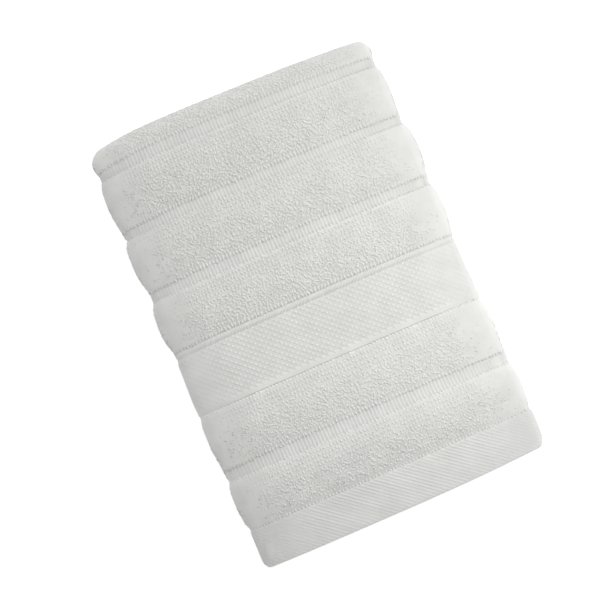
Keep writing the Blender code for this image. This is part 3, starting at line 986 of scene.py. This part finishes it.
def first_band(cloth, kind):
    """Where the first band of this kind starts, and its size."""
    return next((start, size) for name, start, size, *_ in cloth.bands if name == kind)


def border_strips(cloth, weave, rng):
    """The border's diagonal ridges, and the beads on them."""
    start, size = first_band(cloth, "border")
    low, high = cloth.face_edges
    begin, longer = BORDER_MARGINS
    per_bead = 2
    steps = (round((size + longer) / weave.bead_row) - 1) * per_bead + 1
    slope = 0.5 * weave.bead_column / weave.bead_row
    v = start + size - begin - weave.bead_row * (np.arange(steps) / per_bead)
    starts = np.arange(low - WOVEN_REACH - size * slope, high + WOVEN_REACH, weave.bead_column)
    u, v, outside = diagonals(cloth, starts, (v[0] - v) * slope, v)
    width, height = RIDGE
    height = height * rng.uniform(*VARYING["ridge"], u.shape)
    ridges = diagonal_strips(cloth, u, v, outside, width, height, points=5)
    kept = ~outside[:, ::per_bead]
    u, v = u[:, ::per_bead][kept][:, None], v[:, ::per_bead][kept][:, None]
    share = np.linspace(-1.0, 1.0, 6)[None, :]
    round_off = np.sqrt(1.0 - BEAD_BLUNTNESS * share**2) * rng.uniform(*VARYING["bead"], u.shape)
    long, width, height, sunk = BEAD
    u, v = u + long * share, v - long / slope * share
    return ridges, strips(cloth, u, v, width * round_off, height * round_off - sunk, points=6)


def cord_strips(cloth, pitch, rng):
    """The slanting strands of the cord."""
    start, size = first_band(cloth, "cord")
    low, high = (edge + side * WOVEN_REACH for edge, side in zip(cloth.face_edges, (-1, 1)))
    starts = np.arange(low, high, pitch)[:, None]
    starts = starts + rng.normal(0.0, CORD_JITTER, starts.shape)
    run = np.linspace(0.0, 1.0, 9)[None, :]
    u = np.clip(starts + CORD_RUN * run, low, high)
    sway, turns = CORD_WAVE
    v = start + size * added(CORD_SPAN, run) + sway * np.sin(starts * turns)
    round_off = np.sqrt(np.clip(1.0 - (2.0 * run - 1.0) ** 2, 0.0, 1.0))
    height = added(CORD_HEIGHT, round_off) * rng.uniform(*VARYING["strand"], starts.shape)
    width = np.broadcast_to(pitch * CORD_WIDTH, height.shape)
    return strips(cloth, u, v, width, height, points=5, sink=2 * YARN_SINK)


class TOWEL_OT_border(bpy.types.Operator):
    """The woven border: diagonal ridges of beads, and the raised cord above them"""

    bl_idname = "towel.border"
    bl_label = "Woven border"

    def execute(self, context):
        weave, cloth = context.scene.towel_weave, folded_cloth()
        rng = np.random.default_rng(SEEDS["border"])
        ridges, beads = border_strips(cloth, weave, rng)
        yarn_piece("border_ridges", ridges, cotton("white_ridge_yarn", "ridge"))
        yarn_piece("border_beads", beads, cotton("white_bead_yarn", "bead"))
        strands = cord_strips(cloth, weave.strand, rng)
        yarn_piece("border_cord", strands, cotton("white_cord_yarn", "cord"))
        return {"FINISHED"}


class TOWEL_OT_hem(bpy.types.Operator):
    """The hem's twill: fine ridges that run down to the right"""

    bl_idname = "towel.hem"
    bl_label = "Hem twill"

    def execute(self, context):
        weave, cloth = context.scene.towel_weave, folded_cloth()
        rng = np.random.default_rng(SEEDS["hem"])
        start, size = first_band(cloth, "hem")
        low, high = cloth.face_edges
        inner, outer = HEM_MARGINS
        v = start + size - inner - (size - inner - outer) * np.linspace(0.0, 1.0, HEM_STEPS)
        run = (v[0] - v) / math.tan(weave.twill_slope)
        pitch = weave.twill / math.sin(weave.twill_slope)
        starts = np.arange(low - WOVEN_REACH - run[-1], high + WOVEN_REACH, pitch)
        u, v, outside = diagonals(cloth, starts, run, v)
        dashes = np.sin(2.0 * math.pi * v / HEM_DASH + rng.uniform(-2.0, 2.0, (len(u), 1)))
        wear_and_side_shade = smooth_step(u - low, *HEM_FADE) * rng.uniform(*VARYING["twill"], (len(u), 1))
        width, height = added(HEM_RIDGE_WIDTH, dashes), added(HEM_RIDGE_HEIGHT, dashes) * wear_and_side_shade
        made = diagonal_strips(cloth, u, v, outside, width, height, points=4)
        yarn_piece("hem_twill", made, cotton("white_hem_yarn", "hem"))
        return {"FINISHED"}


class TOWEL_OT_stage(bpy.types.Operator):
    """The plain pale floor, the soft studio light and the camera"""

    bl_idname = "towel.stage"
    bl_label = "Floor, light and camera"

    def execute(self, context):
        settings = context.scene.towel_stage
        mesh = bpy.data.meshes.new("floor")
        sides = ((-1, -1), (1, -1), (1, 1), (-1, 1))
        corners = [(x * FLOOR_HALF, y * FLOOR_HALF, -FLOOR_DROP) for x, y in sides]
        mesh.from_pydata(corners, [], [(0, 1, 2, 3)])
        even = {"Roughness": 0.9, "Metallic": 0.0, "Emission Strength": settings.floor_glow}
        shader = Shader("floor", even)
        shader.feed(shader.surface.inputs["Base Color"], settings.floor)
        shader.feed(shader.surface.inputs["Emission Color"], WHITE)
        mesh.materials.append(shader.material)
        floor = new_object("floor", mesh)
        world = bpy.data.worlds.new("studio")
        world.use_nodes = True
        sky = world.node_tree.nodes["Background"]
        sky.inputs["Color"].default_value = WHITE
        sky.inputs["Strength"].default_value = settings.sky
        context.scene.world = world
        for name, place, (across, along) in LIGHTS:
            light = bpy.data.lights.new(f"{name}_light", "AREA")
            light.shape, light.energy = "RECTANGLE", getattr(settings, name)
            light.size, light.size_y = across, along
            lamp = new_object(light.name, light)
            lamp.location = place
            lamp.rotation_mode = "QUATERNION"
            turned = Vector((place[0], LIGHT_TURN * place[1], place[2]))
            lamp.rotation_quaternion = turned.to_track_quat("Z", "Y")
        camera = new_object("camera", bpy.data.cameras.new("camera"))
        camera.location = CAMERA_PLACE
        camera.rotation_mode = "QUATERNION"
        tilt, roll = Quaternion((1, 0, 0), CAMERA_TILT), Quaternion((0, 0, 1), CAMERA_ROLL)
        camera.rotation_quaternion = tilt @ roll
        camera.data.lens, camera.data.sensor_width = CAMERA_LENS, CAMERA_SENSOR
        camera.data.shift_x, camera.data.shift_y = CAMERA_SHIFT
        context.scene.camera = camera
        context.scene.view_settings.view_transform = "Standard"
        return {"FINISHED"}


class TOWEL_PT_panel(bpy.types.Panel):
    bl_idname = "TOWEL_PT_panel"
    bl_label = "Folded towel"
    bl_space_type = "VIEW_3D"
    bl_region_type = "UI"
    bl_category = "Towel"

    def draw(self, context):
        for operator in OPERATORS:
            self.layout.operator(operator.bl_idname)
        for group, name in SETTINGS:
            box = self.layout.box()
            for key in group.__annotations__:
                box.prop(getattr(context.scene, name), key)


OPERATORS = (TOWEL_OT_stage, TOWEL_OT_cloth, TOWEL_OT_terry, TOWEL_OT_ribs, TOWEL_OT_border, TOWEL_OT_hem)
SETTINGS = (
    (TowelCloth, "towel_cloth"),
    (TowelTerry, "towel_terry"),
    (TowelWeave, "towel_weave"),
    (TowelStage, "towel_stage"),
)
CLASSES = tuple(group for group, _ in SETTINGS) + OPERATORS + (TOWEL_PT_panel,)


def register():
    for item in CLASSES:
        bpy.utils.register_class(item)
    for group, name in SETTINGS:
        setattr(bpy.types.Scene, name, PointerProperty(type=group))


def unregister():
    for _, name in SETTINGS:
        delattr(bpy.types.Scene, name)
    for item in reversed(CLASSES):
        bpy.utils.unregister_class(item)


def main():
    register()
    for operator in OPERATORS:
        family, name = operator.bl_idname.split(".")
        getattr(getattr(bpy.ops, family), name)()


if __name__ == "__main__":
    main()
